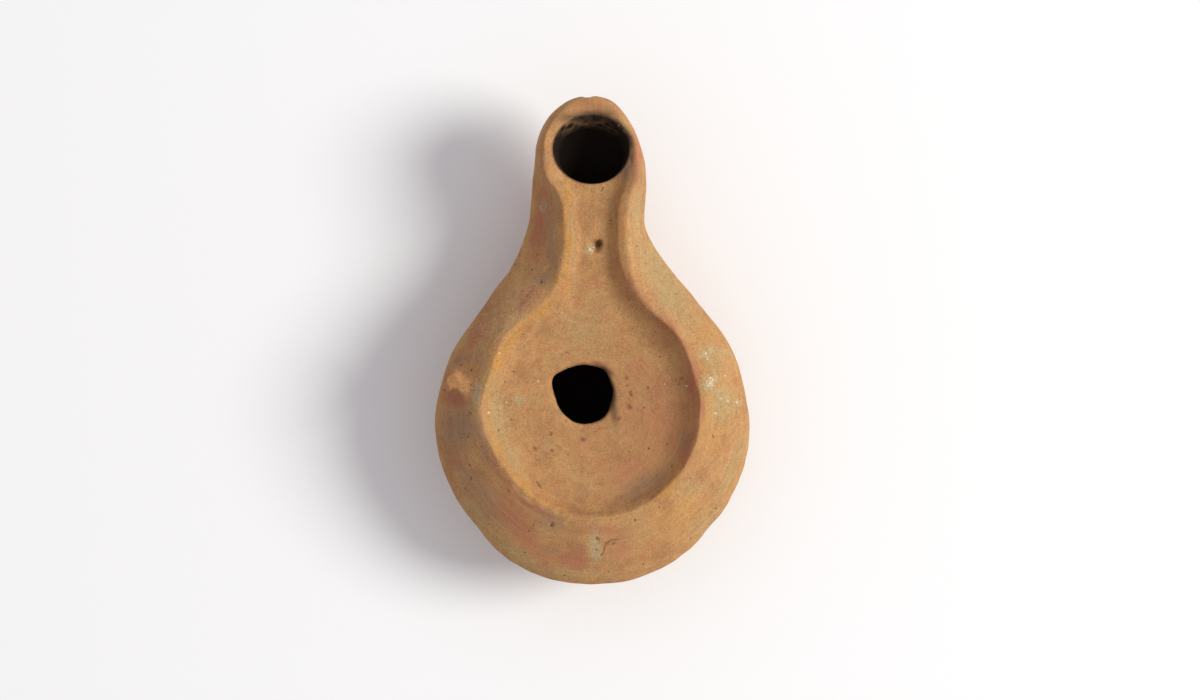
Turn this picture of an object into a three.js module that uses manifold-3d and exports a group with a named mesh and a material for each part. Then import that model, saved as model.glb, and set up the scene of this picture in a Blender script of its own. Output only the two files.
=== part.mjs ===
// A mould-made Roman oil lamp of fired clay, of the open-channel kind: a pear-shaped body, a sunken
// disc with the filling hole, and a channel that runs from the disc to the wick hole in the nozzle.
// Two mould halves were pressed and luted along the seam, so the lamp is one hollow piece.
// Millimetres. +Z is up, +Y points to the nozzle, and the origin is the middle of the flat base.

import * as THREE from "three";
import { mergeVertices, toCreasedNormals } from "three/addons/utils/BufferGeometryUtils.js";
import Module from "manifold-3d";

// Heights.
const RIM_Z = 26.6; // crest of the ridge round the disc
const NOZZLE_RIM_DROP = 0.9; // the ridge is this much lower round the wick hole
const SEAM_Z = 17.6; // widest line of the body
const NOZZLE_SEAM_RISE = 0.9; // the seam climbs this much towards the tip
const DISC_Z = 22.6; // edge of the sunken disc's floor
const DISC_FALL = 1.4; // the floor dips this much towards the filling hole
const CHANNEL_RISE = 0.7; // the channel's floor is this much higher
const FOOT_H = 1.0; // edge of the base disc

// Plan.
const BASE_R = 18.7;
const BODY = { x: 0.1, y: -1.9, r: 31.1 }; // seam of the round body
const DISC = { x: 0.15, y: 1.6, r: 21.05 }; // ridge round the sunken disc
const WICK = { x: 0.15, y: 52.65, across: 7.45, along: 6.85 }; // wick hole, half sizes
const AIR_HOLE = { x: 0.6, y: 33.7, r: 1.35, depth: 1.5 }; // clogged, so it is blind

// Neither circle is true. Pressed places lie inside it: angle, depth and spread in degrees.
const BODY_FLATS = [
  { at: -36, depth: 0.75, spread: 15 },
  { at: 214, depth: 1.0, spread: 20 },
];
const DISC_FLATS = [
  { at: 180, depth: -0.8, spread: 13 },
  { at: 220, depth: 0.55, spread: 26 },
];

// The filling hole was cut by hand with short strokes of the knife: corners of its edge, from
// the hole's middle.
const FILLER = { x: -1.8, y: 4.7 };
const FILLER_EDGE = [
  [1.7, 5.65],
  [4.45, 4.6],
  [5.6, 2.3],
  [6.0, 0.2],
  [5.5, -2.1],
  [4.45, -4.35],
  [1.7, -5.75],
  [-1.2, -5.65],
  [-2.9, -4.65],
  [-4.6, -2.85],
  [-5.6, -0.1],
  [-6.25, 2.5],
  [-5.45, 3.9],
  [-3.65, 4.9],
  [-1.0, 5.65],
];

// Walls.
const WALL = 3.3;
const TIP_EXTRA = 2.9; // the nozzle's front wall is this much thicker
const DISC_THICKNESS = 3.0;
const BASE_THICKNESS = 3.2;

// Ridge round the disc, channel and wick hole.
const RIDGE_OUT = 1.25; // from its crest to its outer foot
const RIDGE_H = 0.45; // on the body
const RIDGE_EXTRA = 0.9; // more of it along the nozzle
const BEVEL = 0.45; // gentle slope from its crest to the lip of the hollow
const BEVEL_EXTRA = 1.2; // more of it along the nozzle
const HOLLOW_RUN = 5.8; // width of the concave wall between the lip and the disc

// Three small lugs on the shoulder, worn down: place, height, how fast the height grows outwards,
// and half sizes along and across. The left one still ends in a level shelf.
const LUGS = [
  { x: -27.0, y: 7.5, height: 2.1, growth: 0.7, along: 3.3, across: 2.2 },
  { x: 24.6, y: 6.9, height: 0.6, growth: 0, along: 3.2, across: 3.0 },
  { x: 1.0, y: -25.4, height: 0.55, growth: 0, along: 3.6, across: 2.6 },
];

// Stations run from the nozzle's tip down each flank to the body. Each gives a point of the seam,
// which is the outline seen from above, the point of the ridge's crest that belongs to it, and how
// full the shoulder is between them: 0 is a plain slope, 1 bulges and -1 is hollow.
const TIP = { seam: [-0.2, 63.2], rim: [0.0, 61.7] };
const RIGHT_FLANK = [
  { seam: [3.9, 62.1], rim: [3.6, 60.8] },
  { seam: [7.0, 58.7], rim: [6.2, 57.7] },
  { seam: [9.2, 54.4], rim: [7.9, 54.0] },
  { seam: [10.5, 50.0], rim: [8.7, 49.8] },
  { seam: [10.7, 46.3], rim: [8.6, 46.4] },
  { seam: [10.4, 41.6], rim: [6.9, 42.1], full: -0.3 },
  { seam: [10.5, 37.6], rim: [6.6, 37.2], full: -0.5 },
  { seam: [12.2, 34.0], rim: [6.7, 33.2], full: -0.5 },
  { seam: [15.9, 28.8], rim: [7.4, 29.1], full: -0.2 },
  { seam: [20.0, 23.9], rim: [8.8, 25.1] },
  { seam: [24.1, 19.0], rim: [12.0, 21.1] },
  { seam: [27.6, 13.6], rim: [16.6, 16.8] },
];
const LEFT_FLANK = [
  { seam: [-4.7, 62.4], rim: [-4.0, 61.0] },
  { seam: [-8.6, 59.0], rim: [-7.4, 57.9] },
  { seam: [-10.7, 54.4], rim: [-9.0, 54.0] },
  { seam: [-11.3, 50.2], rim: [-9.3, 50.0] },
  { seam: [-11.6, 46.9], rim: [-8.4, 46.6] },
  { seam: [-12.0, 42.6], rim: [-5.8, 42.9], full: -0.5 },
  { seam: [-12.4, 38.4], rim: [-5.3, 37.6], full: -1.0 },
  { seam: [-13.6, 34.6], rim: [-5.1, 33.5], full: -1.0 },
  { seam: [-16.4, 28.9], rim: [-6.1, 29.0], full: -0.2 },
  { seam: [-19.7, 24.4], rim: [-7.4, 24.8], full: 1.2 },
  { seam: [-23.4, 19.2], rim: [-11.8, 20.6], full: 1.0 },
  { seam: [-27.3, 13.5], rim: [-17.2, 15.8], full: 0.7 },
];

// Angles of the stations on the round body. They lie closer together at the left lug.
const RIGHT_ANGLES = [18, 0, -18, -36, -54, -72, -90];
const LEFT_ANGLES = [-108, -126, -144, -161, -173, -184, -192, -200];

// Mesh density.
const PER_STATION = 3;
const CAVITY_STRIDE = 2; // the inside uses every second section

const polar = (c, deg, r = c.r) =>
  new THREE.Vector2(
    c.x + r * Math.cos(THREE.MathUtils.degToRad(deg)),
    c.y + r * Math.sin(THREE.MathUtils.degToRad(deg)),
  );

// Radius of a circle at an angle, less its flats.
function wornRadius(circle, flats, deg) {
  const turned = (at) => THREE.MathUtils.euclideanModulo(deg - at + 180, 360) - 180;
  return flats.reduce(
    (r, flat) => r - flat.depth * Math.exp(-((turned(flat.at) / flat.spread) ** 2)),
    circle.r,
  );
}

const bodyStation = (deg) => ({
  seam: polar(BODY, deg, wornRadius(BODY, BODY_FLATS, deg)).toArray(),
  rim: polar(DISC, deg, wornRadius(DISC, DISC_FLATS, deg)).toArray(),
});

// All the way round, clockwise from the tip: right flank, body, left flank.
const stations = [
  TIP,
  ...RIGHT_FLANK,
  ...RIGHT_ANGLES.map(bodyStation),
  ...LEFT_ANGLES.map(bodyStation),
  ...[...LEFT_FLANK].reverse(),
];
const SECTIONS = stations.length * PER_STATION;

// A smooth closed line through points in order, as evenly indexed points.
function closedLine(points, count) {
  const corners = points.map(([x, y]) => new THREE.Vector3(x, y, 0));
  const curve = new THREE.CatmullRomCurve3(corners, true, "centripetal");
  return Array.from({ length: count }, (_, i) => {
    const p = curve.getPoint(i / count);
    return new THREE.Vector2(p.x, p.y);
  });
}

const seam = closedLine(stations.map((s) => s.seam), SECTIONS);
const rim = closedLine(stations.map((s) => s.rim), SECTIONS);

// How full the shoulder is at a section, eased from one station to the next.
function fullness(i) {
  const station = Math.floor(i / PER_STATION);
  const next = stations[(station + 1) % stations.length];
  const share = THREE.MathUtils.smoothstep(i / PER_STATION - station, 0, 1);
  return THREE.MathUtils.lerp(stations[station].full ?? 0, next.full ?? 0, share);
}

// The seam moved inwards by the wall's thickness.
const innerSeam = seam.map((p, i) => {
  const before = seam.at(i - 1);
  const after = seam[(i + 1) % SECTIONS];
  const along = after.clone().sub(before).normalize();
  const wall = WALL + TIP_EXTRA * THREE.MathUtils.smoothstep(p.y, 55, 62);
  return new THREE.Vector2(p.x + along.y * wall, p.y - along.x * wall);
});

// Where a section leaves the edge of the base. The sections of the slender nozzle lie close in
// angle, so they are spread evenly here, which rounds the nozzle's underside into the body.
function footDirection(i) {
  const own = Math.atan2(seam[i].x, seam[i].y);
  const fromTip = Math.min(i, SECTIONS - i) / PER_STATION;
  const fan = RIGHT_FLANK.length + 1;
  const even = Math.sign(own) * THREE.MathUtils.degToRad(74) * (fromTip / fan);
  const angle = fromTip < fan ? THREE.MathUtils.lerp(own, even, 0.8) : own;
  return new THREE.Vector2(Math.sin(angle), Math.cos(angle));
}

// The line under which the two sides of the hollow meet: the disc's centre for all of the body,
// then up the middle of the channel to the wick hole's centre.
function spine(i) {
  const mirrored = rim[(SECTIONS - i) % SECTIONS];
  const y = (rim[i].y + mirrored.y) / 2;
  const [leaves, joins] = [17, 33]; // between these the sections swing from radial to square
  const swing = (leaves - DISC.y) * (1 - THREE.MathUtils.smoothstep(y, leaves, joins));
  const onSpine = THREE.MathUtils.clamp(y - swing, DISC.y, WICK.y);
  const share = (onSpine - DISC.y) / (WICK.y - DISC.y);
  return new THREE.Vector2(THREE.MathUtils.lerp(DISC.x, WICK.x, share), onSpine);
}

const nozzleShare = (y) => THREE.MathUtils.smoothstep(y, 15, 45);
const rimZ = (y) => RIM_Z - NOZZLE_RIM_DROP * nozzleShare(y);
const seamZ = (y) => SEAM_Z + NOZZLE_SEAM_RISE * nozzleShare(y);
const ridgeH = (y) => RIDGE_H + RIDGE_EXTRA * nozzleShare(y);
const bevel = (y) => BEVEL + BEVEL_EXTRA * THREE.MathUtils.smoothstep(y, 18, 32);

// Floor of the disc and the channel: a shallow funnel round the filling hole, then level.
function hollowZ(p) {
  const fromCentre = Math.hypot(p.x - DISC.x, p.y - DISC.y);
  const dip = Math.max(0, 1 - fromCentre / (DISC.r - HOLLOW_RUN));
  return DISC_Z - DISC_FALL * dip + CHANNEL_RISE * THREE.MathUtils.smoothstep(p.y, 16, 34);
}

const at = (plan, z) => new THREE.Vector3(plan.x, plan.y, z);
const towards = (from, to, distance) =>
  from.clone().add(to.clone().sub(from).setLength(distance));

// Points of a cubic curve through a section, without its first point. They can be gathered
// towards its end, where it bends most.
function arcPoints(p0, p1, p2, p3, count, gathered = 1) {
  const curve = new THREE.CubicBezierCurve3(p0, p1, p2, p3);
  return Array.from({ length: count }, (_, i) =>
    curve.getPoint(1 - (1 - (i + 1) / count) ** gathered),
  );
}

// Height that the lugs add to the shoulder at a point. Each lug points at the disc's centre.
function lugHeight(p) {
  return LUGS.reduce((sum, lug) => {
    const out = new THREE.Vector2(lug.x - DISC.x, lug.y - DISC.y).normalize();
    const d = new THREE.Vector2(p.x - lug.x, p.y - lug.y);
    const along = d.dot(out) / lug.along;
    const across = d.cross(out) / lug.across;
    const height = lug.height + lug.growth * d.dot(out);
    return sum + height * Math.exp(-(along ** 4) - across ** 2);
  }, 0);
}

// The underside from the base's centre to its edge: flat, with one shallow turned groove.
function basePoints(direction) {
  const groove = { r: 13.6, half: 1.1, depth: 0.8 };
  const profile = [
    [groove.r - groove.half, 0],
    [groove.r - groove.half * 0.4, groove.depth],
    [groove.r + groove.half * 0.4, groove.depth],
    [groove.r + groove.half, 0],
    [BASE_R - 0.5, 0],
    [BASE_R, FOOT_H * 0.5],
    [BASE_R, FOOT_H],
  ];
  return profile.map(([r, z]) => at(direction.clone().setLength(r), z));
}

// Wall from the foot out to the widest line: it leaves at a slant, rising by rise, and turns
// upright over the last stretch, drop.
function lowerWall(foot, widest, { rise, drop, count }) {
  const out = widest.clone().sub(foot).setZ(0);
  const leave = foot.clone().addScaledVector(out, 0.36).setZ(foot.z + rise);
  const arrive = widest.clone().setZ(widest.z - drop);
  return arcPoints(foot, leave, arrive, widest, count, 1.35);
}

// The shoulder is a slope that turns upright in the last stretch above the seam.
function shoulderPoints(widest, ridgeFoot, full) {
  const out = widest.clone().sub(ridgeFoot).setZ(0);
  const height = ridgeFoot.z - widest.z;
  const upright = widest.clone().setZ(widest.z + (0.25 + 0.2 * full) * height);
  const slanted = ridgeFoot.clone().addScaledVector(out, 0.72 + 0.2 * Math.min(full, 0));
  slanted.z -= (0.55 - 0.2 * full) * height;
  return arcPoints(widest, upright, slanted, ridgeFoot, 6).map((p) => p.setZ(p.z + lugHeight(p)));
}

// The worn ridge, from just above its outer foot to the lip of the hollow.
function ridgePoints(edge, crest, middle) {
  const top = rimZ(crest.y);
  return [
    at(towards(crest, edge, RIDGE_OUT * 0.45), top - 0.14 * (1 + ridgeH(crest.y))),
    at(crest, top),
    at(towards(crest, middle, bevel(crest.y)), top - 0.15 - 0.2 * bevel(crest.y)),
  ];
}

// The steep concave wall from the lip down to the floor of the disc or channel.
function hollowWall(lip, wallFoot) {
  const floor = at(wallFoot, hollowZ(wallFoot));
  const steep = lip.clone().lerp(floor, 0.2).setZ(THREE.MathUtils.lerp(lip.z, floor.z, 0.55));
  const level = lip.clone().lerp(floor, 0.55).setZ(floor.z + 0.3);
  return arcPoints(lip, steep, level, floor, 4);
}

const wallFootOf = (crest, middle) =>
  towards(crest, middle, Math.min(HOLLOW_RUN, 0.55 * crest.distanceTo(middle)));

// One section of the outside: base, lower wall, shoulder, ridge, hollow and its floor.
function outerSection(i) {
  const [edge, crest, middle] = [seam[i], rim[i], spine(i)];
  const base = basePoints(footDirection(i));
  const widest = at(edge, seamZ(edge.y));
  const ridgeFoot = at(towards(crest, edge, RIDGE_OUT), rimZ(crest.y) - ridgeH(crest.y));
  const ridge = ridgePoints(edge, crest, middle);
  const wallFoot = wallFootOf(crest, middle);
  const halfway = wallFoot.clone().lerp(middle, 0.5);
  return [
    ...base,
    ...lowerWall(base.at(-1), widest, { rise: 3.8, drop: 6.5, count: 8 }),
    ...shoulderPoints(widest, ridgeFoot, fullness(i)),
    ...ridge,
    ...hollowWall(ridge.at(-1), wallFoot),
    at(halfway, hollowZ(halfway)),
    at(middle, hollowZ(middle)),
  ];
}

// One section of the inside: floor, wall, and the ceiling under the shoulder and the disc.
function innerSection(i) {
  const [edge, crest, middle] = [innerSeam[i], rim[i], spine(i)];
  const foot = at(footDirection(i).setLength(BASE_R - WALL), BASE_THICKNESS);
  const widest = at(edge, seamZ(seam[i].y) - 0.6);
  const wallFoot = wallFootOf(crest, middle);
  const ceiling = at(wallFoot, hollowZ(wallFoot) - DISC_THICKNESS);
  const dome = widest.clone().lerp(ceiling, 0.4);
  dome.z = ceiling.z + 0.2 * seam[i].distanceTo(crest);
  const upright = widest.clone().setZ(THREE.MathUtils.lerp(widest.z, dome.z, 0.55));
  return [
    foot,
    ...lowerWall(foot, widest, { rise: 4.9, drop: 4.4, count: 6 }),
    ...arcPoints(widest, upright, dome, ceiling, 4),
    at(middle, hollowZ(middle) - DISC_THICKNESS),
  ];
}

const wasm = await Module();
wasm.setup();

// A solid from triangles whose corners may still be repeated or meet in a point.
function solidOf(geometry) {
  const bare = geometry.clone();
  bare.deleteAttribute("normal");
  bare.deleteAttribute("uv");
  const merged = mergeVertices(bare, 1e-4);
  const index = merged.index.array;
  const triVerts = [];
  for (let i = 0; i < index.length; i += 3) {
    const [a, b, c] = index.slice(i, i + 3);
    if (a !== b && b !== c && c !== a) triVerts.push(a, b, c);
  }
  const vertProperties = Float32Array.from(merged.attributes.position.array);
  return new wasm.Manifold(
    new wasm.Mesh({ numProp: 3, vertProperties, triVerts: Uint32Array.from(triVerts) }),
  );
}

// A closed skin over sections that run clockwise round the piece. Every section starts beside
// the middle point below it. The last points either meet each other or are closed by a top point.
function skin(sections, bottom, top = null) {
  const rows = sections[0].length;
  const count = sections.length;
  const points = [...sections.flat(), bottom, ...(top ? [top] : [])];
  const corner = (section, row) => (section % count) * rows + row;
  const index = [];
  for (let s = 0; s < count; s++) {
    index.push(count * rows, corner(s, 0), corner(s + 1, 0));
    for (let row = 0; row < rows - 1; row++) {
      const [a, b] = [corner(s, row), corner(s + 1, row)];
      const [c, d] = [corner(s + 1, row + 1), corner(s, row + 1)];
      index.push(a, d, b, b, d, c);
    }
    if (top) index.push(corner(s, rows - 1), count * rows + 1, corner(s + 1, rows - 1));
  }
  return solidOf(new THREE.BufferGeometry().setFromPoints(points).setIndex(index));
}

// A closed column over level rings of points, listed from the lowest ring up.
function column(rings) {
  const sections = rings[0].map((_, i) => rings.map((ring) => ring[i]));
  const middle = (ring) =>
    ring.reduce((sum, p) => sum.add(p), new THREE.Vector3()).divideScalar(ring.length);
  return skin(sections, middle(rings[0]), middle(rings.at(-1)));
}

// A level ring of points, clockwise seen from above. The offset from the middle is given for
// each angle in degrees.
function ring(centre, z, offset, count) {
  return Array.from({ length: count }, (_, i) => {
    const p = offset(90 - (360 * i) / count);
    return at(p.add(centre), z);
  });
}

// The wick hole narrows downwards, and its front and right walls lean in under the rim.
function wickHole() {
  const levels = [
    { z: 16.5, share: 0.75, lean: 1.9 },
    { z: 18.2, share: 0.82, lean: 1.4 },
    { z: 22.0, share: 0.89, lean: 0.7 },
    { z: 25.0, share: 0.975, lean: 0 },
    { z: 26.4, share: 1.06, lean: 0 },
    { z: 32.0, share: 1.4, lean: 0 },
  ];
  return column(
    levels.map(({ z, share, lean }) => {
      const oval = (deg) =>
        polar({ x: 0, y: 0 }, deg, share).multiply({ x: WICK.across, y: WICK.along });
      return ring({ x: WICK.x - 0.3 * lean, y: WICK.y - lean }, z, oval, 40);
    }),
  );
}

// The filling hole, with its edge slightly opened at the top.
function fillerHole() {
  const edge = closedLine(FILLER_EDGE, FILLER_EDGE.length * 3);
  const brim = DISC_Z - DISC_FALL * 0.6;
  const levels = [
    [brim - 6, 1.0],
    [brim - 0.8, 1.0],
    [brim, 1.03],
    [brim + 1.2, 1.2],
    [brim + 6, 1.2],
  ];
  return column(
    levels.map(([z, scale]) =>
      edge.map((p) => at(p.clone().multiplyScalar(scale).add(FILLER), z)),
    ),
  );
}

// The small air hole in the channel, clogged so that only a dimple is left.
function airHole() {
  const top = hollowZ(AIR_HOLE);
  const levels = [
    [top - AIR_HOLE.depth, 0.5],
    [top - 0.7, 0.85],
    [top + 0.4, 1.3],
    [top + 3, 1.3],
  ];
  const round = (r) => (deg) => polar({ x: 0, y: 0 }, deg, r);
  return column(levels.map(([z, scale]) => ring(AIR_HOLE, z, round(scale * AIR_HOLE.r), 16)));
}

const indices = Array.from({ length: SECTIONS }, (_, i) => i);
const outside = skin(indices.map(outerSection), new THREE.Vector3(0, 0, 0));
const inside = skin(
  indices.filter((i) => i % CAVITY_STRIDE === 0).map(innerSection),
  new THREE.Vector3(0, 0, BASE_THICKNESS),
);
const lamp = [inside, wickHole(), fillerHole(), airHole()].reduce(
  (solid, tool) => solid.subtract(tool),
  outside,
);

// A drawable geometry from a solid.
function geometryOf(solid) {
  const mesh = solid.getMesh();
  const geometry = new THREE.BufferGeometry();
  geometry.setAttribute("position", new THREE.BufferAttribute(mesh.vertProperties, 3));
  geometry.setIndex(new THREE.BufferAttribute(mesh.triVerts, 1));
  return toCreasedNormals(geometry, THREE.MathUtils.degToRad(40));
}

const firedClay = new THREE.MeshStandardMaterial({
  name: "fired_clay",
  color: 0xc4915f,
  roughness: 0.92,
  metalness: 0,
});

const body = new THREE.Mesh(geometryOf(lamp), firedClay);
body.name = "lamp_body";

const oilLamp = new THREE.Group();
oilLamp.name = "roman_oil_lamp";
oilLamp.add(body);

export default oilLamp;
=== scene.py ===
# A mould-made Roman oil lamp of fired clay, seen from straight above with its nozzle pointing away.
# The lamp is one hollow piece. It stands on a plain pale floor in soft light from the right.
import math

import bpy
import numpy as np
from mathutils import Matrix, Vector, bvhtree, noise


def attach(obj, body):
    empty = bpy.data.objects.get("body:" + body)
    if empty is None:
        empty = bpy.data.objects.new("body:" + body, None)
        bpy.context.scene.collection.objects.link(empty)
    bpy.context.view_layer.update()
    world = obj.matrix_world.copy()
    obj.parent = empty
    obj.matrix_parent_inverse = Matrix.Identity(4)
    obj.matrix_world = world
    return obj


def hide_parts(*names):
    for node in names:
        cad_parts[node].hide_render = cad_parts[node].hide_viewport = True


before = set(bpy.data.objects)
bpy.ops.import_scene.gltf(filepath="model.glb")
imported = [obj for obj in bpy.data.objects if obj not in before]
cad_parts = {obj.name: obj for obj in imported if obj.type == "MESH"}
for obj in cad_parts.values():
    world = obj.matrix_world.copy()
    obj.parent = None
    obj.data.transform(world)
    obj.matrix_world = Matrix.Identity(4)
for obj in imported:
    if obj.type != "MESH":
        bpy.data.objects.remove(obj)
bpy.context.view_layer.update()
bpy.ops.object.select_all(action="DESELECT")

# The lamp: two mould halves of clay pressed together, fired orange-buff. The skin is cast from the
# solid, rounded as wet clay is, and then takes the wear, knocks and cuts of the real one.
MM = 0.001


def make_active(piece):
    bpy.ops.object.select_all(action="DESELECT")
    piece.select_set(True)
    bpy.context.view_layer.objects.active = piece


def apply_modifier(piece, kind, **settings):
    make_active(piece)
    modifier = piece.modifiers.new(kind.lower(), kind)
    for name, value in settings.items():
        setattr(modifier, name, value)
    bpy.ops.object.modifier_apply(modifier=modifier.name)


make_active(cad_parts["lamp_body"])
bpy.ops.object.duplicate()
lamp = bpy.context.view_layer.objects.active
lamp.name = "clay_lamp"
lamp.parent = None

# The cut edges of the holes, the base and the ridge stay crisper than the skin between them.
SAME_POINT = 0.002 * MM
FLAT_PAIR = math.radians(30)
SKEWED_PAIR = math.radians(60)
CUT_EDGE = math.radians(42)
CUT_CREASE = 0.7
bpy.ops.object.mode_set(mode="EDIT")
bpy.ops.mesh.select_mode(type="EDGE")
bpy.ops.mesh.select_all(action="SELECT")
bpy.ops.mesh.remove_doubles(threshold=SAME_POINT)
bpy.ops.mesh.tris_convert_to_quads(face_threshold=FLAT_PAIR, shape_threshold=SKEWED_PAIR)
bpy.ops.mesh.select_all(action="DESELECT")
bpy.ops.mesh.edges_select_sharp(sharpness=CUT_EDGE)
bpy.ops.transform.edge_crease(value=CUT_CREASE)
bpy.ops.object.mode_set(mode="OBJECT")
apply_modifier(lamp, "SUBSURF", levels=2, render_levels=2)
VOXEL = 0.34 * MM
apply_modifier(lamp, "REMESH", mode="VOXEL", voxel_size=VOXEL, use_smooth_shade=True)
apply_modifier(lamp, "SMOOTH", factor=0.5, iterations=3)


def read_points(piece, kind="co"):
    flat = np.empty(len(piece.data.vertices) * 3, np.float32)
    piece.data.vertices.foreach_get(kind, flat)
    return flat.reshape(-1, 3).astype(float)


def ease(value, low, high):
    share = np.clip((value - low) / (high - low), 0, 1)
    return share * share * (3 - 2 * share)


def cloud(places, size, seed):
    """Soft noise between -1 and 1, in lumps of about the given size."""
    spread = places / size + seed * 7.3
    return np.array([noise.noise(p) for p in spread.tolist()])


def wander(places, size, seed):
    """A sideways shift by soft noise, with nothing up or down."""
    shift = [cloud(places, size, seed), cloud(places, size, seed + 1), np.zeros(len(places))]
    return np.stack(shift, axis=1)


def from_spot(places, x, y, wide, long, turn):
    """How far the places lie across and along an oval spot, in its half sizes."""
    a = math.radians(turn)
    dx = places[:, 0] - x
    dy = places[:, 1] - y
    across = (dx * math.cos(a) + dy * math.sin(a)) / wide
    along = (dy * math.cos(a) - dx * math.sin(a)) / long
    return across, along


def marks(places, spots, soft=1.5):
    """How strongly oval spots cover the places. Each spot gives its middle, its half sizes, the
    angle it is turned by and its strength."""
    cover = np.zeros(len(places))
    for *oval, strength in spots:
        across, along = from_spot(places, *oval)
        one = strength * np.exp(-((across**2 + along**2) ** soft))
        cover = np.where(np.abs(one) > np.abs(cover), one, cover)
    return cover


# Knocks and chips on the upper side, then small lumps. The strength is a height in millimetres.
KNOCKS = [
    (-13.2, 20, 1.37, 2.73, -45, -0.35), (-14.2, -13.2, 0.78, 0.68, 0, -0.35),
    (-11.7, -15.5, 0.78, 0.59, 0, -0.3), (-8.9, -17.1, 0.78, 0.59, 0, -0.25),
    (-6.2, -18, 0.78, 0.59, 0, -0.3), (-20.5, -2.6, 0.68, 0.98, 10, -0.25),
    (-17.3, -9.3, 0.59, 0.59, 0, -0.2), (23.1, -21.2, 2.6, 1.4, 45, -0.2),
    (28, -10.4, 0.78, 2.34, -20, -0.25), (-26.3, 3.6, 2.34, 1.37, 0, -0.45),
    (-12.7, 27.5, 2.73, 1.37, -30, -0.3), (0.8, -24.9, 1.56, 3.12, 0, -0.12),
    (1, -23.3, 0.49, 0.43, 0, -0.5), (-7.9, -20.8, 0.39, 0.39, 0, -0.35),
    (-9.1, 51.1, 0.98, 1.76, 0, -0.12), (-5.6, 47, 0.78, 0.78, 0, -0.3),
    (18.2, -3.8, 1.76, 1.76, 0, -0.12), (1.4, 34.2, 0.62, 0.7, -20, -0.5),
    (17.2, -26.6, 1.0, 1.4, -50, -0.25), (-0.8, 63.2, 0.9, 0.8, 0, -0.3),
]
LUMPS = [
    (-14, 23.2, 4.3, 2.34, 30, 0.15), (0, 33.3, 0.78, 0.68, 0, 0.3), (25.9, -17.8, 1.8, 3.3, -32, 0.3),
    (-16.4, 20.4, 2.6, 8, -42, 0.45), (-12.1, 22.9, 1.5, 4.6, -53, 0.6), (-18.2, 17, 1.4, 3.4, -43, 0.4),
]

# The worn lump on the left shoulder is a level shelf that ends in a low step. The step runs
# through these places, and the shelf lies on its far side.
SHELF_EDGE = [(-30.5, 5.4), (-26.6, 5.6), (-25.2, 3.9), (-22.4, 2.2)]
SHELF_HEIGHT = 24.7
SHELF_SLOPE = 0.13
SHELF_DEPTH = 3.8
MOST_RISE = 1.7


def shelf(places):
    """How far each place rises to the shelf."""
    ahead = places[:, 1] - np.interp(places[:, 0], *zip(*SHELF_EDGE))
    outwards = -places[:, 0]
    reach = ease(ahead, -0.3, 0.35) * (1 - ease(ahead, SHELF_DEPTH - 1.0, SHELF_DEPTH + 1.2))
    reach *= ease(outwards, 21.8, 23.4) * (1 - ease(outwards, 29.5, 30.6))
    level_top = SHELF_HEIGHT + SHELF_SLOPE * (places[:, 0] + 25)
    return reach * np.clip(level_top - places[:, 2], 0, MOST_RISE)


points = read_points(lamp) / MM
normals = read_points(lamp, "normal")
depsgraph = bpy.context.evaluated_depsgraph_get()
solid_tree = bvhtree.BVHTree.FromObject(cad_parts["lamp_body"], depsgraph)
LONGER_THAN_CHAMBER = 0.07


def inside_of(places, facing):
    """1 for skin of the oil chamber, which meets the lamp again both above it and ahead of it."""
    up = Vector((0, 0, 1))
    result = np.zeros(len(places))
    for i, (place, out) in enumerate(zip(places.tolist(), facing.tolist())):
        start = (Vector(place) + Vector(out)) * MM
        above = solid_tree.ray_cast(start, up, LONGER_THAN_CHAMBER)[0]
        if above and solid_tree.ray_cast(start, Vector(out), LONGER_THAN_CHAMBER)[0]:
            result[i] = 1
    return result


# Where the wear acts: the upper side, the ridge's crest, the seam and the edge of the filling hole.
SEAM_HEIGHT = 18
SEAM_SPREAD = 3
DISC_X = 0.15
DISC_Y = 1.6
FILLER_X = -1.8
FILLER_Y = 4.7
FILLER_RADIUS = 6.2
FILLER_EDGE_WIDTH = 1.3
inside = inside_of(points, normals)
outer = 1 - inside
top = ease(points[:, 2], 15, 19) * outer
rim = ease(points[:, 2], 24.0, 25.6) * outer
seam = np.exp(-(((points[:, 2] - SEAM_HEIGHT) / SEAM_SPREAD) ** 2)) * outer
from_filler = np.hypot(points[:, 0] - FILLER_X, points[:, 1] - FILLER_Y)
filler_edge = np.exp(-(((from_filler - FILLER_RADIUS) / FILLER_EDGE_WIDTH) ** 2))
filler_edge *= ease(points[:, 2], 18, 20)

# The wick hole is wider on its left side than a round hole.
WICK_WEAR = [(-7.3, 53.2, 1.6, 4.6, 0, 0.55)]

# Unevenness of hand-finished clay, then the wander of the worn rim, of the seam and of the hand-cut
# hole, then the knocks.
height = 0.11 * cloud(points, 11, 1) + 0.05 * cloud(points, 4.2, 2) + 0.022 * cloud(points, 1.5, 3)
height *= outer
height += seam * (0.14 * cloud(points, 6, 4) + 0.07 * cloud(points, 2.4, 5))
warped = points + 0.45 * wander(points, 2.2, 6)
rise = (marks(warped, KNOCKS) + marks(warped, LUMPS)) * top
sideways = 0.2 * wander(points, 3.6, 8) + 0.13 * wander(points, 1.3, 10)
worn = marks(warped, WICK_WEAR)
level = 0.6 * ease(normals[:, 2], 0.3, 0.8)
points += normals * (height + rise * (1 - level))[:, None]
points[:, 2] += rise * level + shelf(warped) * ease(normals[:, 2], 0.1, 0.5) * top
points[:, 0] -= worn * rim
points += sideways * np.maximum(rim, 0.8 * filler_edge)[:, None]
points[:, 2] = np.maximum(points[:, 2], 0)
lamp.data.vertices.foreach_set("co", (points * MM).astype(np.float32).ravel())
lamp.data.update()

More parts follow.
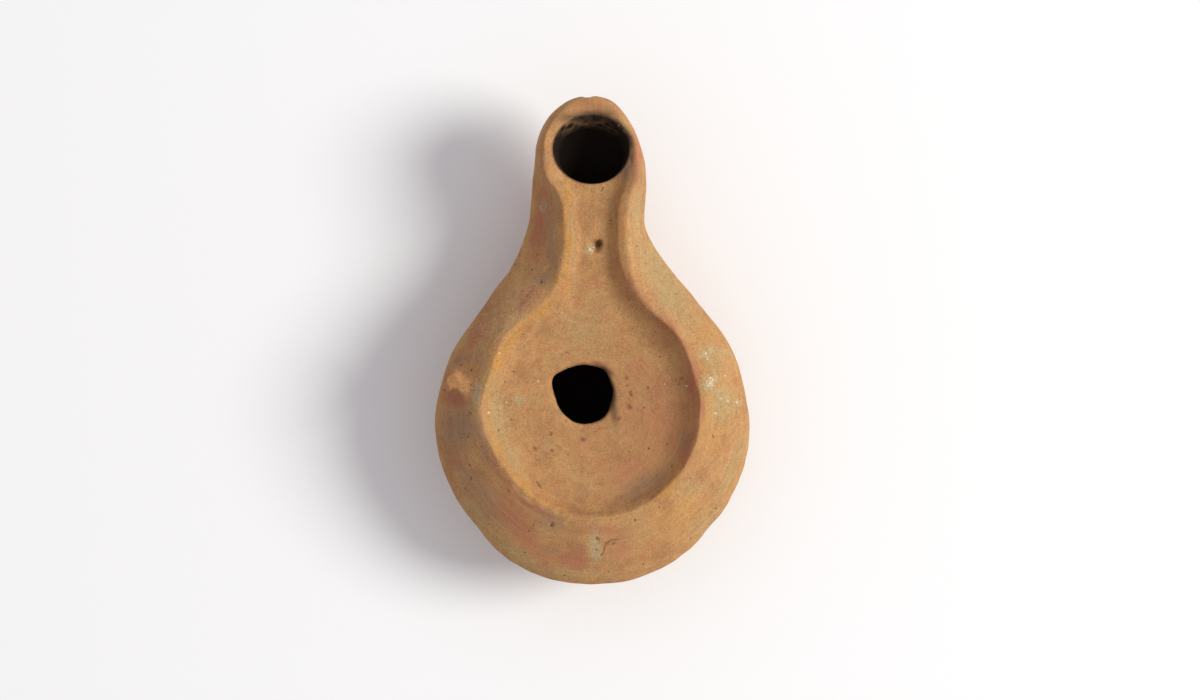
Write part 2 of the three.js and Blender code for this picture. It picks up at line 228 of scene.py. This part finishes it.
# The chamber and the underside need few faces, so they are thinned out.
TRIANGLES = 192000
HIDDEN_FIRST = 1000.0
thin = lamp.vertex_groups.new(name="thin")
hidden = np.nonzero((inside > 0.5) | (normals[:, 2] < -0.1))[0].tolist()
thin.add(hidden, 1.0, "REPLACE")
kept = TRIANGLES / (2 * len(lamp.data.polygons))
if kept < 1:
    apply_modifier(
        lamp, "DECIMATE", ratio=kept, vertex_group="thin", vertex_group_factor=HIDDEN_FIRST
    )
lamp.vertex_groups.clear()

# Colour of the clay. It fired redder in some places and yellower in others, and lay in the earth,
# so each stain is a set of soft ovals with frayed edges. Some sets also hold painted light:
# a painted highlight on faces turned to the lamp and painted shade on faces turned from it.
# Redder, darker clay: partly its own firing, partly painted shade, as most ovals lie on faces turned from
# the lamp.
BLUSH_AND_SHADE = [
    (-25.8, -18, 0.5, 7, 29, 0.6), (-17.4, -27.6, 0.5, 6.5, 53, 0.65), (-8, -32.1, 0.5, 4.5, 77, 0.55),
    (-9.9, 39.2, 1.56, 8.2, -7, 0.9), (-15.5, 21.6, 4.6, 10, -42, 0.2), (-12.6, 23.4, 2.2, 3.9, -50, 0.7),
    (-22.6, 15.9, 1.5, 4.9, -35, 0.8), (-26.4, 3.6, 3.0, 1.5, -12, 0.95),
    (5.5, 38.8, 0.68, 8.2, 0, 0.2), (7.7, 25.9, 0.88, 5.47, 30, 0.45),
    (14.9, 17.7, 1.17, 5.86, 47, 0.55), (19.8, 6.6, 1.37, 7.42, 8, 0.75), (19, -5.2, 1.37, 5.47, -19, 0.7),
    (12.7, -0.9, 7.42, 9.37, 0, 0.42), (7.8, -10, 5.86, 4.3, 20, 0.5), (9.4, 8.5, 4.3, 3.91, 0, 0.35),
    (8.6, 49.9, 0.98, 5.08, 0, 0.8), (-0.4, 60.7, 3.91, 1.17, 0, 0.45),
    (-20.5, -6.2, 0.55, 5.2, 23, 0.6), (-11.4, -17.2, 0.7, 5, 60, 0.85), (-16.2, -13.1, 0.6, 3.4, 42, 0.7),
    (-14.2, -20.8, 2.54, 8.2, 31, 0.7), (-3.7, -27.6, 3.91, 2.54, 0, 0.7),
    (2.6, -21.9, 5.08, 1.37, 0, 0.55), (4.9, -25.3, 2.34, 2.54, 0, 0.5),
    (-26.3, -8.3, 1.95, 1.76, 0, 0.6), (-1.3, -4.2, 2.34, 1.56, 30, 0.35),
]
BUFF = [
    (8.8, 40.4, 1.56, 5.08, 0, 0.8), (14.5, 26.1, 2.73, 10.55, 30, 0.9),
    (23.5, 11.4, 2.34, 4.3, 10, 0.7), (25.4, 2.7, 2.93, 3.91, 0, 0.85),
    (22.5, 7.2, 1.76, 1.76, 0, 0.8), (27.4, -9.3, 1.37, 8.79, -19, 0.6),
    (21.7, -20.6, 1.95, 4.3, -50, 0.5), (-18.3, 0.7, 2.15, 7.42, 8, 0.75),
    (-15.4, -7.5, 1.56, 4.3, 35, 0.7), (-14.6, 3.6, 1.17, 1.56, 0, 0.6),
    (-3.7, 34.3, 0.98, 11.72, 0, 0.45), (-1.3, 17.3, 5.86, 5.08, 0, 0.35),
    (0.6, -25.1, 1.56, 3.12, 0, 0.9), (-9.1, -4.8, 2.54, 2.15, 0, 0.3),
    (19.6, -13.7, 3.12, 1.76, 20, 0.45), (-10.5, 27.3, 2.73, 1.95, 20, 0.4),
    (-5.2, -30.2, 10.74, 0.98, -3, 0.5), (-22.6, -19.4, 1.3, 6, 36, 0.7), (-14, -27.2, 1.2, 6, 55, 0.7),
]
# Grey-brown patches: partly real dirt, partly painted shade, as in the hollow above the worn shelf and on
# the shaded left.
GRIME_AND_SHADE = [
    (-26.1, -1.8, 4.3, 4.69, 0, 0.75), (-22, -14.3, 2.54, 10.16, 35, 0.55),
    (-21.2, -4.2, 1.17, 5.47, 15, 0.55), (-7.8, -20, 4.1, 1.56, -30, 0.55),
    (-9.3, 41.9, 1.17, 1.76, 0, 0.5), (-9.7, 27.3, 1.95, 1.76, 0, 0.7),
    (-25.4, 10.9, 2.73, 0.98, 20, 0.7), (-21.8, 11.8, 1.56, 1.95, 0, 0.4),
    (-8.9, 51.1, 0.98, 1.95, 0, 0.45), (-7.8, 33.9, 1.17, 9.76, 0, 0.55),
    (18.4, -4.2, 1.56, 2.54, 0, 0.5), (6.9, 48.4, 1.76, 1.95, -20, 0.7),
    (9.6, -13.2, 6.6, 1.6, 33, 0.6), (-7.4, -25.7, 0.78, 0.59, 0, 0.6),
]
# Pale lime crust. The first, broad oval is a pale wash on the shaded upper-left shoulder: painted fill
# light.
LIME_AND_FILL_LIGHT = [
    (-16.5, 20, 4.5, 9, -42, 0.22),
    (-22.9, 4.8, 0.78, 2.54, 0, 0.65), (-21.4, 5.4, 0.59, 0.98, 0, 0.5), (23.1, 7.2, 1.37, 1.17, 0, 1),
    (22.3, 12.6, 1.17, 0.98, 0, 0.7), (24.3, 5, 0.78, 0.59, 0, 0.6),
    (25.6, 3.6, 1.56, 0.59, -25, 0.55), (28.4, 3, 0.78, 0.59, 0, 0.5), (24.1, 1.1, 0.39, 0.39, 0, 0.6),
    (23.7, 13, 1.76, 0.78, 0, 0.4), (26.6, 13, 0.78, 0.78, 0, 0.4), (0, 33.3, 0.98, 0.78, 0, 0.8),
    (5.6, 56.6, 1.1, 1.5, 35, 0.75), (-14.8, 3.4, 0.98, 1.37, 0, 0.5),
    (-9.5, 42.1, 0.78, 1.17, 0, 0.55), (3.9, -2.6, 1.56, 0.78, 0, 0.3),
    (0.8, -24.9, 1.17, 2.73, 0, 0.6),
]
# Saturated yellow-orange on the faces turned to the lamp and on the lit crests of rim and ridge: painted
# highlight.
LIT_FACE_HIGHLIGHT = [
    (15.2, -12.8, 0.9, 5.5, -38, 0.65), (5.8, 37, 0.6, 9, 0, 0.7), (22.5, 14.5, 2.6, 4.5, 20, 0.5),
    (-10.4, 20.5, 0.9, 4.6, -53, 0.8), (-15.8, 15.6, 1.1, 3.9, -43, 1), (-18.8, 11, 1.0, 2.9, -20, 1),
    (-19.8, 6.2, 0.88, 3.5, -5, 0.75),
    (-4.8, 35.9, 0.7, 11.33, 0, 1), (-6.8, 26.1, 0.78, 2.73, -20, 0.6),
    (23.5, 3.6, 4.3, 11.72, 0, 0.35), (17.2, -19.8, 7.81, 3.91, 35, 0.35),
    (-18.5, -5.1, 1.3, 5, 24, 0.7), (-13.4, -12.3, 1.3, 4.4, 47, 0.75), (-7.4, -16.7, 1.0, 3.4, 66, 0.5),
]
# Near-black on the right and upper edges of both holes, which face away from the lamp: painted shade,
# partly real soot by the wick.
SOOT_AND_SHADE = [
    (4.0, 3.6, 0.9, 5.2, 8, 0.75), (2.6, 9.6, 2.2, 0.8, -35, 0.7), (-0.9, 58.9, 5.0, 1.0, 3, 0.85),
    (4.4, 57.4, 3.2, 1.1, -38, 0.9), (7.2, 54.6, 0.9, 2.6, 18, 0.85), (7.9, 51.2, 0.6, 2.4, -6, 0.6),
]

points = read_points(lamp) / MM
normals = read_points(lamp, "normal")
inside = inside_of(points, normals)
upper = ease(points[:, 2], 14, 18) * (1 - inside)
frayed = points + 1.1 * wander(points, 4.5, 21) + 0.4 * wander(points, 1.3, 23)
patchy = cloud(points, 9, 25)
blotchy = cloud(points, 3.1, 26)
below = (1 - upper) * (1 - inside)

# Soot and old oil: the holes' walls darken downwards and the chamber is black.
WICK_OVAL = (-0.15, 52.55, 7.9, 7.0)
FILLER_OVAL = (FILLER_X, FILLER_Y, 6.6, 6.6)
LEDGE_HEIGHT = 19


def hole_wall(oval, low, high):
    """1 for the wall of an oval hole, which ends at the hole's edge and fades between two heights."""
    x, y, wide, long = oval
    dx = points[:, 0] - x
    dy = points[:, 1] - y
    faces_in = normals[:, 0] * dx + normals[:, 1] * dy < 0
    faces_in |= (normals[:, 2] > 0.5) | (points[:, 2] > LEDGE_HEIGHT)
    edge = 0.99 + 0.1 * (1 - ease(points[:, 2], low, high))
    within = 1 - ease(np.hypot(dx / wide, dy / long), edge - 0.06, edge)
    return within * faces_in * (normals[:, 2] > -0.6)


wick_wall = hole_wall(WICK_OVAL, 19.5, 21.5)
filler_wall = hole_wall(FILLER_OVAL, 18, 19.8) * (1 - ease(points[:, 2], 19.4, 20.6))
hole_depth = np.maximum(wick_wall, filler_wall)
front_wall = ease(points[:, 1], 54.5, 58.5) * ease(points[:, 2], 17, 22.5)
front_wall *= ease(cloud(points, 1.2, 27), -0.6, 0.5)
stain_and_light_layers = {
    "blush_and_shade": marks(frayed, BLUSH_AND_SHADE, 1.2) * upper + below * ease(patchy, -0.1, 0.6) * 0.6,
    "buff": marks(frayed, BUFF, 1.2) * upper + below * ease(-patchy, 0.0, 0.6) * 0.6,
    "grime_and_shade": marks(frayed, GRIME_AND_SHADE, 1.2) * upper + below * ease(blotchy, 0.1, 0.7) * 0.5,
    "lime_and_fill_light": marks(frayed, LIME_AND_FILL_LIGHT, 1.5) * upper,
    "lit_face_highlight": marks(frayed, LIT_FACE_HIGHLIGHT, 1.2) * upper,
    "soot_and_shade": marks(0.7 * points + 0.3 * frayed, SOOT_AND_SHADE, 1.2) * upper,
    "oil": np.maximum(inside, hole_depth) * (1 - 0.5 * front_wall),
}
for name, cover in stain_and_light_layers.items():
    layer = lamp.data.attributes.new(name, "FLOAT", "POINT")
    layer.data.foreach_set("value", np.clip(cover, 0, 1).astype(np.float32))

PITS = [
    (-23.6, 6.6, 0.16, 0.17, 0), (-28.8, 5.6, 0.16, 0.17, 0), (-23.6, 1.1, 0.16, 0.17, 0),
    (-25.7, 10.5, 0.17, 0.18, 0), (-23.5, 9.5, 0.18, 0.2, 0), (-24.2, -3.6, 0.16, 0.17, 0),
    (-23.8, -9.1, 0.16, 0.17, 0), (-18.2, -2.3, 0.16, 0.17, 0), (-15.8, -0.2, 0.14, 0.15, 0),
    (-15.3, 9.2, 0.14, 0.15, 0), (-17, 7.2, 0.13, 0.14, 0), (10.2, 2.1, 0.14, 0.15, 0),
    (11.1, -5.9, 0.16, 0.17, 0), (7.3, -6.5, 0.13, 0.14, 0), (17.5, 7.8, 0.16, 0.17, 0),
    (16.9, 6.7, 0.16, 0.17, 0), (13.3, 12.1, 0.13, 0.14, 0), (14.7, -5, 0.14, 0.15, 0),
    (15.6, -9.3, 0.16, 0.17, 0), (23.6, -3.4, 0.1, 0.37, 20), (13.1, -17.2, 0.16, 0.17, 0),
    (8.4, -19.7, 0.18, 0.2, 0), (24.4, -17.7, 0.16, 0.17, 0), (10.1, -28.6, 0.16, 0.17, 0),
    (19.4, -23.5, 0.14, 0.15, 0), (19.2, -11.6, 0.14, 0.15, 0), (1, -23.3, 0.31, 0.26, 0),
    (0.9, -25.7, 0.16, 0.17, 0), (-7.9, -20.8, 0.26, 0.25, 0), (-11.4, -20.8, 0.16, 0.17, 0),
    (-12.3, -21.9, 0.16, 0.17, 0), (-13.2, -26.3, 0.16, 0.17, 0), (-5.4, -30.9, 0.18, 0.17, 0),
    (-16.2, -14, 0.13, 0.38, 35), (-23.6, -11.6, 0.13, 0.4, 0), (-24.8, -13.7, 0.14, 0.15, 0),
    (-10.3, -13, 0.13, 0.85, 34), (-9.9, 26.7, 0.2, 0.21, 0), (-11.7, 29.1, 0.16, 0.17, 0),
    (-10.7, 32.1, 0.14, 0.15, 0), (2.2, 45.1, 0.16, 0.17, 0), (1.9, 44.5, 0.13, 0.14, 0),
    (3.7, 38.7, 0.16, 0.17, 0), (8.8, 33.7, 0.17, 0.18, 0), (-2.7, 34.9, 0.08, 0.37, 0),
    (1.4, 34.2, 0.6, 0.72, -20),
]
FLAKES = [
    (6.7, 7.9, 0.31, 0.43, -20), (7.6, 4.8, 0.29, 0.59, 10), (7.3, 2.3, 0.39, 0.59, 30),
    (5.2, -0.1, 0.47, 0.31, 40), (-1.7, -4.1, 0.55, 0.31, 20), (10.9, 6, 0.23, 0.31, 0),
    (-8, -3, 0.29, 0.37, 0), (-11.1, -5.9, 0.31, 0.39, 0), (-7.8, -6.3, 0.33, 0.29, 0),
    (2.4, -25.3, 0.15, 0.85, -8), (3.2, -24, 0.15, 0.6, -45), (4.6, -23.5, 0.85, 0.13, 8),
    (4.3, -24.4, 0.7, 0.1, 15), (1.9, -26.6, 0.3, 0.16, 30),
]
SPECKS = [
    (-18, 12.8, 0.16, 0.16, 0), (-20.1, 1.2, 0.2, 0.2, 0), (-16.7, 3.2, 0.14, 0.14, 0),
    (-10.5, 7.3, 0.12, 0.12, 0), (24.1, 1.1, 0.24, 0.2, 0), (18.5, 6.4, 0.18, 0.16, 0),
    (23, 6.9, 0.2, 0.16, 0), (22.6, 6.4, 0.18, 0.14, 0), (23.6, 7.6, 0.14, 0.2, 0),
    (23.6, 6.5, 0.15, 0.13, 0), (23.1, 8, 0.22, 0.12, 20), (22.3, 7.3, 0.12, 0.14, 0),
    (26.1, 8.4, 0.13, 0.13, 0), (28.4, 3.2, 0.15, 0.22, 0), (26.6, 3.4, 0.14, 0.12, 0),
    (14.2, 6.7, 0.12, 0.12, 0), (25.3, 3.9, 0.2, 0.11, -30), (22.2, 12.7, 0.16, 0.2, 0),
    (22.6, 11.6, 0.14, 0.12, 0), (-0.3, 33.1, 0.24, 0.18, 30), (0.4, 33.5, 0.2, 0.16, 0),
    (0.1, 32.7, 0.16, 0.2, 0), (6.1, 55.9, 0.2, 0.3, 20), (5.2, 57.1, 0.18, 0.2, 0),
]


def vector_layer(name, values):
    layer = lamp.data.attributes.new(name, "FLOAT_VECTOR", "POINT")
    layer.data.foreach_set("vector", values.astype(np.float32).ravel())


def offsets(places, spots):
    """Each place's offset from the spot that it lies by, in the spot's half sizes."""
    result = np.tile([0.0, 0.0, 9.0], (len(places), 1))
    nearest = np.full(len(places), 4.5)
    for oval in spots:
        across, along = from_spot(places, *oval)
        far = np.hypot(across, along)
        closer = (far < nearest) & (upper > 0.5)
        result[closer] = np.stack([across, along, 0 * far], axis=1)[closer]
        nearest[closer] = far[closer]
    return result


vector_layer("pit_offset", offsets(points, PITS))
vector_layer("flake_offset", offsets(points, FLAKES))
vector_layer("speck_offset", offsets(points, SPECKS))

# Strokes of the wiping hand: they run round the disc on the body and lengthwise on the nozzle.
radius = np.hypot(points[:, 0] - DISC_X, points[:, 1] - DISC_Y)
angle = np.arctan2(points[:, 1] - DISC_Y, points[:, 0] - DISC_X)
on_nozzle = ease(points[:, 1], 18, 30)
across = radius * (1 - on_nozzle) + points[:, 0] * on_nozzle
along = angle * 12 * (1 - on_nozzle) + points[:, 1] * on_nozzle
vector_layer("stroke", np.stack([across, along * 0.12, points[:, 2] * 0.5], axis=1))

clay = bpy.data.materials.new("fired_clay")
clay.use_nodes = True
tree = clay.node_tree
shader = tree.nodes["Principled BSDF"]
link = tree.links.new


def node(kind, **settings):
    made = tree.nodes.new("ShaderNode" + kind)
    for name, value in settings.items():
        if name in made.inputs:
            made.inputs[name].default_value = value
        else:
            setattr(made, name, value)
    return made


def combined(kind, a, b):
    made = tree.nodes.new("ShaderNodeMath")
    made.operation = kind
    for socket, value in zip(made.inputs, (a, b)):
        if isinstance(value, (int, float)):
            socket.default_value = value
        else:
            link(value, socket)
    return made.outputs[0]


def ramp(value, low, high, start=0.0, end=1.0):
    made = node("MapRange")
    link(value, made.inputs["Value"])
    made.inputs["From Min"].default_value = low
    made.inputs["From Max"].default_value = high
    made.inputs["To Min"].default_value = start
    made.inputs["To Max"].default_value = end
    return made.outputs[0]


def mixed(below_colour, colour, share):
    made = tree.nodes.new("ShaderNodeMix")
    made.data_type = "RGBA"
    link(share, made.inputs["Factor"])
    link(below_colour, made.inputs[6])
    made.inputs[7].default_value = (*colour, 1)
    return made.outputs[2]


def grain(scale, detail, place, rough=0.6):
    made = node("TexNoise", Scale=scale, Detail=detail, Roughness=rough)
    link(place, made.inputs["Vector"])
    return made.outputs[0]


def colour_layer(name):
    return node("Attribute", attribute_name=name).outputs["Fac"]


def scaled(vector, factor):
    made = tree.nodes.new("ShaderNodeVectorMath")
    made.operation = "SCALE"
    link(vector, made.inputs[0])
    if isinstance(factor, (int, float)):
        made.inputs["Scale"].default_value = factor
    else:
        link(factor, made.inputs["Scale"])
    return made.outputs[0]


# Places in millimetres, then the clay's grain from fine to coarse.
place = scaled(node("TexCoord").outputs["Object"], 1000)
strokes = node("Attribute", attribute_name="stroke").outputs["Vector"]

sand = grain(3.2, 4, place, 0.7)
lumps = grain(0.8, 3, place)
clouds = grain(0.16, 4, place)
patches = grain(0.42, 6, place, 0.72)
wiped = grain(1.6, 3, strokes, 0.65)


def frayed_share(name, spread):
    """A stain, painted highlight or painted shade whose edge follows the grain of the clay."""
    worn = combined("ADD", colour_layer(name), combined("MULTIPLY", combined("SUBTRACT", lumps, 0.5), spread))
    worn = combined("ADD", worn, combined("MULTIPLY", combined("SUBTRACT", sand, 0.5), spread))
    return combined("MULTIPLY", ramp(worn, 0.08, 0.8), ramp(colour_layer(name), 0.0, 0.15))


# The fired clay, and the colours that its places, stains, painted highlight and painted shade take.
ORANGE_BUFF = (0.447, 0.236, 0.096)
HARD_FIRED = (0.375, 0.185, 0.078)
SOFT_FIRED = (0.46, 0.265, 0.108)
EARTH_GREY = (0.3, 0.172, 0.09)
BRICK_RED = (0.42, 0.168, 0.075)
STAIN_AND_LIGHT_COLOURS = {
    "lit_face_highlight": ((0.47, 0.234, 0.07), 0.3),
    "blush_and_shade": ((0.4, 0.16, 0.083), 0.7),
    "buff": ((0.4, 0.262, 0.118), 0.5),
    "grime_and_shade": ((0.31, 0.18, 0.103), 0.7),
    "lime_and_fill_light": ((0.42, 0.315, 0.17), 1.0),
    "soot_and_shade": ((0.085, 0.053, 0.034), 0.6),
}
base = node("RGB")
base.outputs[0].default_value = (*ORANGE_BUFF, 1)
colour = base.outputs[0]
colour = mixed(colour, HARD_FIRED, ramp(clouds, 0.5, 0.68))
colour = mixed(colour, SOFT_FIRED, ramp(clouds, 0.5, 0.32, 0.0, 0.8))
colour = mixed(colour, EARTH_GREY, ramp(patches, 0.54, 0.62, 0.0, 0.38))
colour = mixed(colour, BRICK_RED, ramp(patches, 0.46, 0.38, 0.0, 0.5))
for name, (layer_colour, spread) in STAIN_AND_LIGHT_COLOURS.items():
    colour = mixed(colour, layer_colour, frayed_share(name, spread))


# Small sharp marks. Beside each one the skin carries its offset from the mark's middle, in the
# mark's own half sizes, so that the mark is drawn sharper than the mesh.
WANDER = 1.5


def small_marks(name, edge=0.5):
    waves = node("TexNoise", Scale=2.2, Detail=2.0)
    link(place, waves.inputs["Vector"])
    shifted = tree.nodes.new("ShaderNodeVectorMath")
    shifted.operation = "MULTIPLY_ADD"
    link(waves.outputs["Color"], shifted.inputs[0])
    shifted.inputs[1].default_value = (WANDER, WANDER, 0)
    link(node("Attribute", attribute_name=name).outputs["Vector"], shifted.inputs[2])
    centred = tree.nodes.new("ShaderNodeVectorMath")
    centred.operation = "ADD"
    link(shifted.outputs[0], centred.inputs[0])
    centred.inputs[1].default_value = (-WANDER / 2, -WANDER / 2, 0)
    far = tree.nodes.new("ShaderNodeVectorMath")
    far.operation = "LENGTH"
    link(centred.outputs[0], far.inputs[0])
    return ramp(far.outputs["Value"], 1 + edge, 1 - edge)


pits = small_marks("pit_offset")
flakes = small_marks("flake_offset", 0.7)
specks = small_marks("speck_offset")

# Grit that fell out of the clay left pinholes, and the grit that stayed shows as pale and dark dots.
def scattered(scale):
    """Distance from the nearest of many scattered dots, and that dot's own three chance values."""
    cells = node("TexVoronoi", Scale=scale, Randomness=1.0)
    link(place, cells.inputs["Vector"])
    chances = node("SeparateColor")
    link(cells.outputs["Color"], chances.inputs[0])
    return cells.outputs["Distance"], chances.outputs


far_from_hole, hole_chance = scattered(0.6)
hole_size = ramp(hole_chance["Red"], 0.4, 1.0, 0.0, 0.09)
pinholes = ramp(combined("SUBTRACT", far_from_hole, hole_size), 0.02, -0.02)
far_from_grit, grit_chance = scattered(1.7)
pale_size = ramp(grit_chance["Green"], 0.72, 1.0, 0.0, 0.2)
dark_size = ramp(grit_chance["Blue"], 0.5, 1.0, 0.0, 0.26)
pale_grit = ramp(combined("SUBTRACT", far_from_grit, pale_size), 0.03, -0.03)
dark_grit = ramp(combined("SUBTRACT", far_from_grit, dark_size), 0.03, -0.03)
dark_share = combined("MULTIPLY", dark_grit, ramp(colour_layer("grime_and_shade"), 0.0, 0.6, 0.4, 0.95))
pale_share = combined("MULTIPLY", pale_grit, ramp(colour_layer("lime_and_fill_light"), 0.0, 0.5, 0.35, 0.9))
colour = mixed(colour, (0.15, 0.08, 0.04), dark_share)
colour = mixed(colour, (0.6, 0.47, 0.3), pale_share)
# Pinholes and pits are drawn brown-black: painted shade inside them.
colour = mixed(colour, (0.13, 0.065, 0.03), combined("MULTIPLY", pinholes, 0.7))
colour = mixed(colour, (0.2, 0.075, 0.045), combined("MULTIPLY", flakes, 0.85))
colour = mixed(colour, (0.11, 0.055, 0.028), combined("MULTIPLY", pits, 0.85))
colour = mixed(colour, (0.75, 0.6, 0.4), combined("MULTIPLY", specks, 0.8))

# The sandy grain and the wiping strokes lighten and darken it.
value = combined("ADD", ramp(sand, 0.35, 0.65, 0.84, 1.17), ramp(wiped, 0.3, 0.7, -0.08, 0.08))
value = combined("ADD", value, ramp(lumps, 0.3, 0.7, -0.065, 0.075))
OLD_OIL = (0.014, 0.008, 0.0055)
colour = mixed(scaled(colour, value), OLD_OIL, colour_layer("oil"))
link(colour, shader.inputs["Base Color"])

relief = combined("MULTIPLY", sand, 0.05)
relief = combined("ADD", relief, combined("MULTIPLY", lumps, 0.06))
relief = combined("ADD", relief, combined("MULTIPLY", wiped, 0.06))
relief = combined("SUBTRACT", relief, combined("MULTIPLY", pinholes, 0.05))
relief = combined("SUBTRACT", relief, combined("MULTIPLY", pits, 0.08))
relief = combined("SUBTRACT", relief, combined("MULTIPLY", flakes, 0.05))
relief = combined("ADD", relief, combined("MULTIPLY", combined("MULTIPLY", colour_layer("lime_and_fill_light"), sand), 0.2))
bump = node("Bump", Strength=0.8, Distance=MM)
link(relief, bump.inputs["Height"])
link(bump.outputs[0], shader.inputs["Normal"])
link(ramp(sand, 0.3, 0.7, 0.82, 0.96), shader.inputs["Roughness"])
shader.inputs["Specular IOR Level"].default_value = 0.15
lamp.data.materials.clear()
lamp.data.materials.append(clay)
make_active(lamp)
bpy.ops.object.shade_smooth()

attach(lamp, "root")
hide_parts("lamp_body")

# The floor: a plain pale sheet, much larger than the view.
bpy.ops.mesh.primitive_plane_add(size=6.0, location=(0, 0, 0))
floor = bpy.context.active_object
floor.name = "pale_floor"
paper = bpy.data.materials.new("pale_paper")
paper.use_nodes = True
sheet = paper.node_tree.nodes["Principled BSDF"]
sheet.inputs["Base Color"].default_value = (0.9, 0.9, 0.9, 1)
sheet.inputs["Roughness"].default_value = 0.9
floor.data.materials.append(paper)

# The light: one broad soft lamp low on the right, and an even pale room all round.
KEY_ELEVATION = math.radians(38)
KEY_DISTANCE = 2.0
bpy.ops.object.light_add(type="AREA")
key = bpy.context.active_object
key.name = "window_light"
key.data.shape = "DISK"
key.data.size = 0.9
key.data.energy = 36.5
key.data.color = (1.0, 1.0, 0.95)
target = Vector((0.0, 0.012, 0.02))
away = Vector((math.cos(KEY_ELEVATION), 0.05, math.sin(KEY_ELEVATION)))
key.location = target + away.normalized() * KEY_DISTANCE
key.rotation_euler = (key.location - target).to_track_quat("Z", "Y").to_euler()
world = bpy.data.worlds.new("pale_room")
bpy.context.scene.world = world
world.use_nodes = True
sky = world.node_tree.nodes["Background"]
sky.inputs["Color"].default_value = (1.0, 0.975, 1.03, 1)
sky.inputs["Strength"].default_value = 0.54
bpy.context.scene.view_settings.view_transform = "Standard"

# The camera: straight above the lamp, far enough off to draw it almost without perspective.
CAMERA_HEIGHT = 0.70
VIEW_WIDTH = 0.2364
WIDEST_HEIGHT = 0.0176
camera_data = bpy.data.cameras.new("overhead_camera")
camera = bpy.data.objects.new("overhead_camera", camera_data)
bpy.context.scene.collection.objects.link(camera)
camera.location = (0.0016, 0.0134, CAMERA_HEIGHT)
camera.rotation_euler = (0, 0, 0)
camera_data.lens = camera_data.sensor_width * (CAMERA_HEIGHT - WIDEST_HEIGHT) / VIEW_WIDTH
camera_data.clip_start = 0.01
camera_data.clip_end = 20
bpy.context.scene.camera = camera
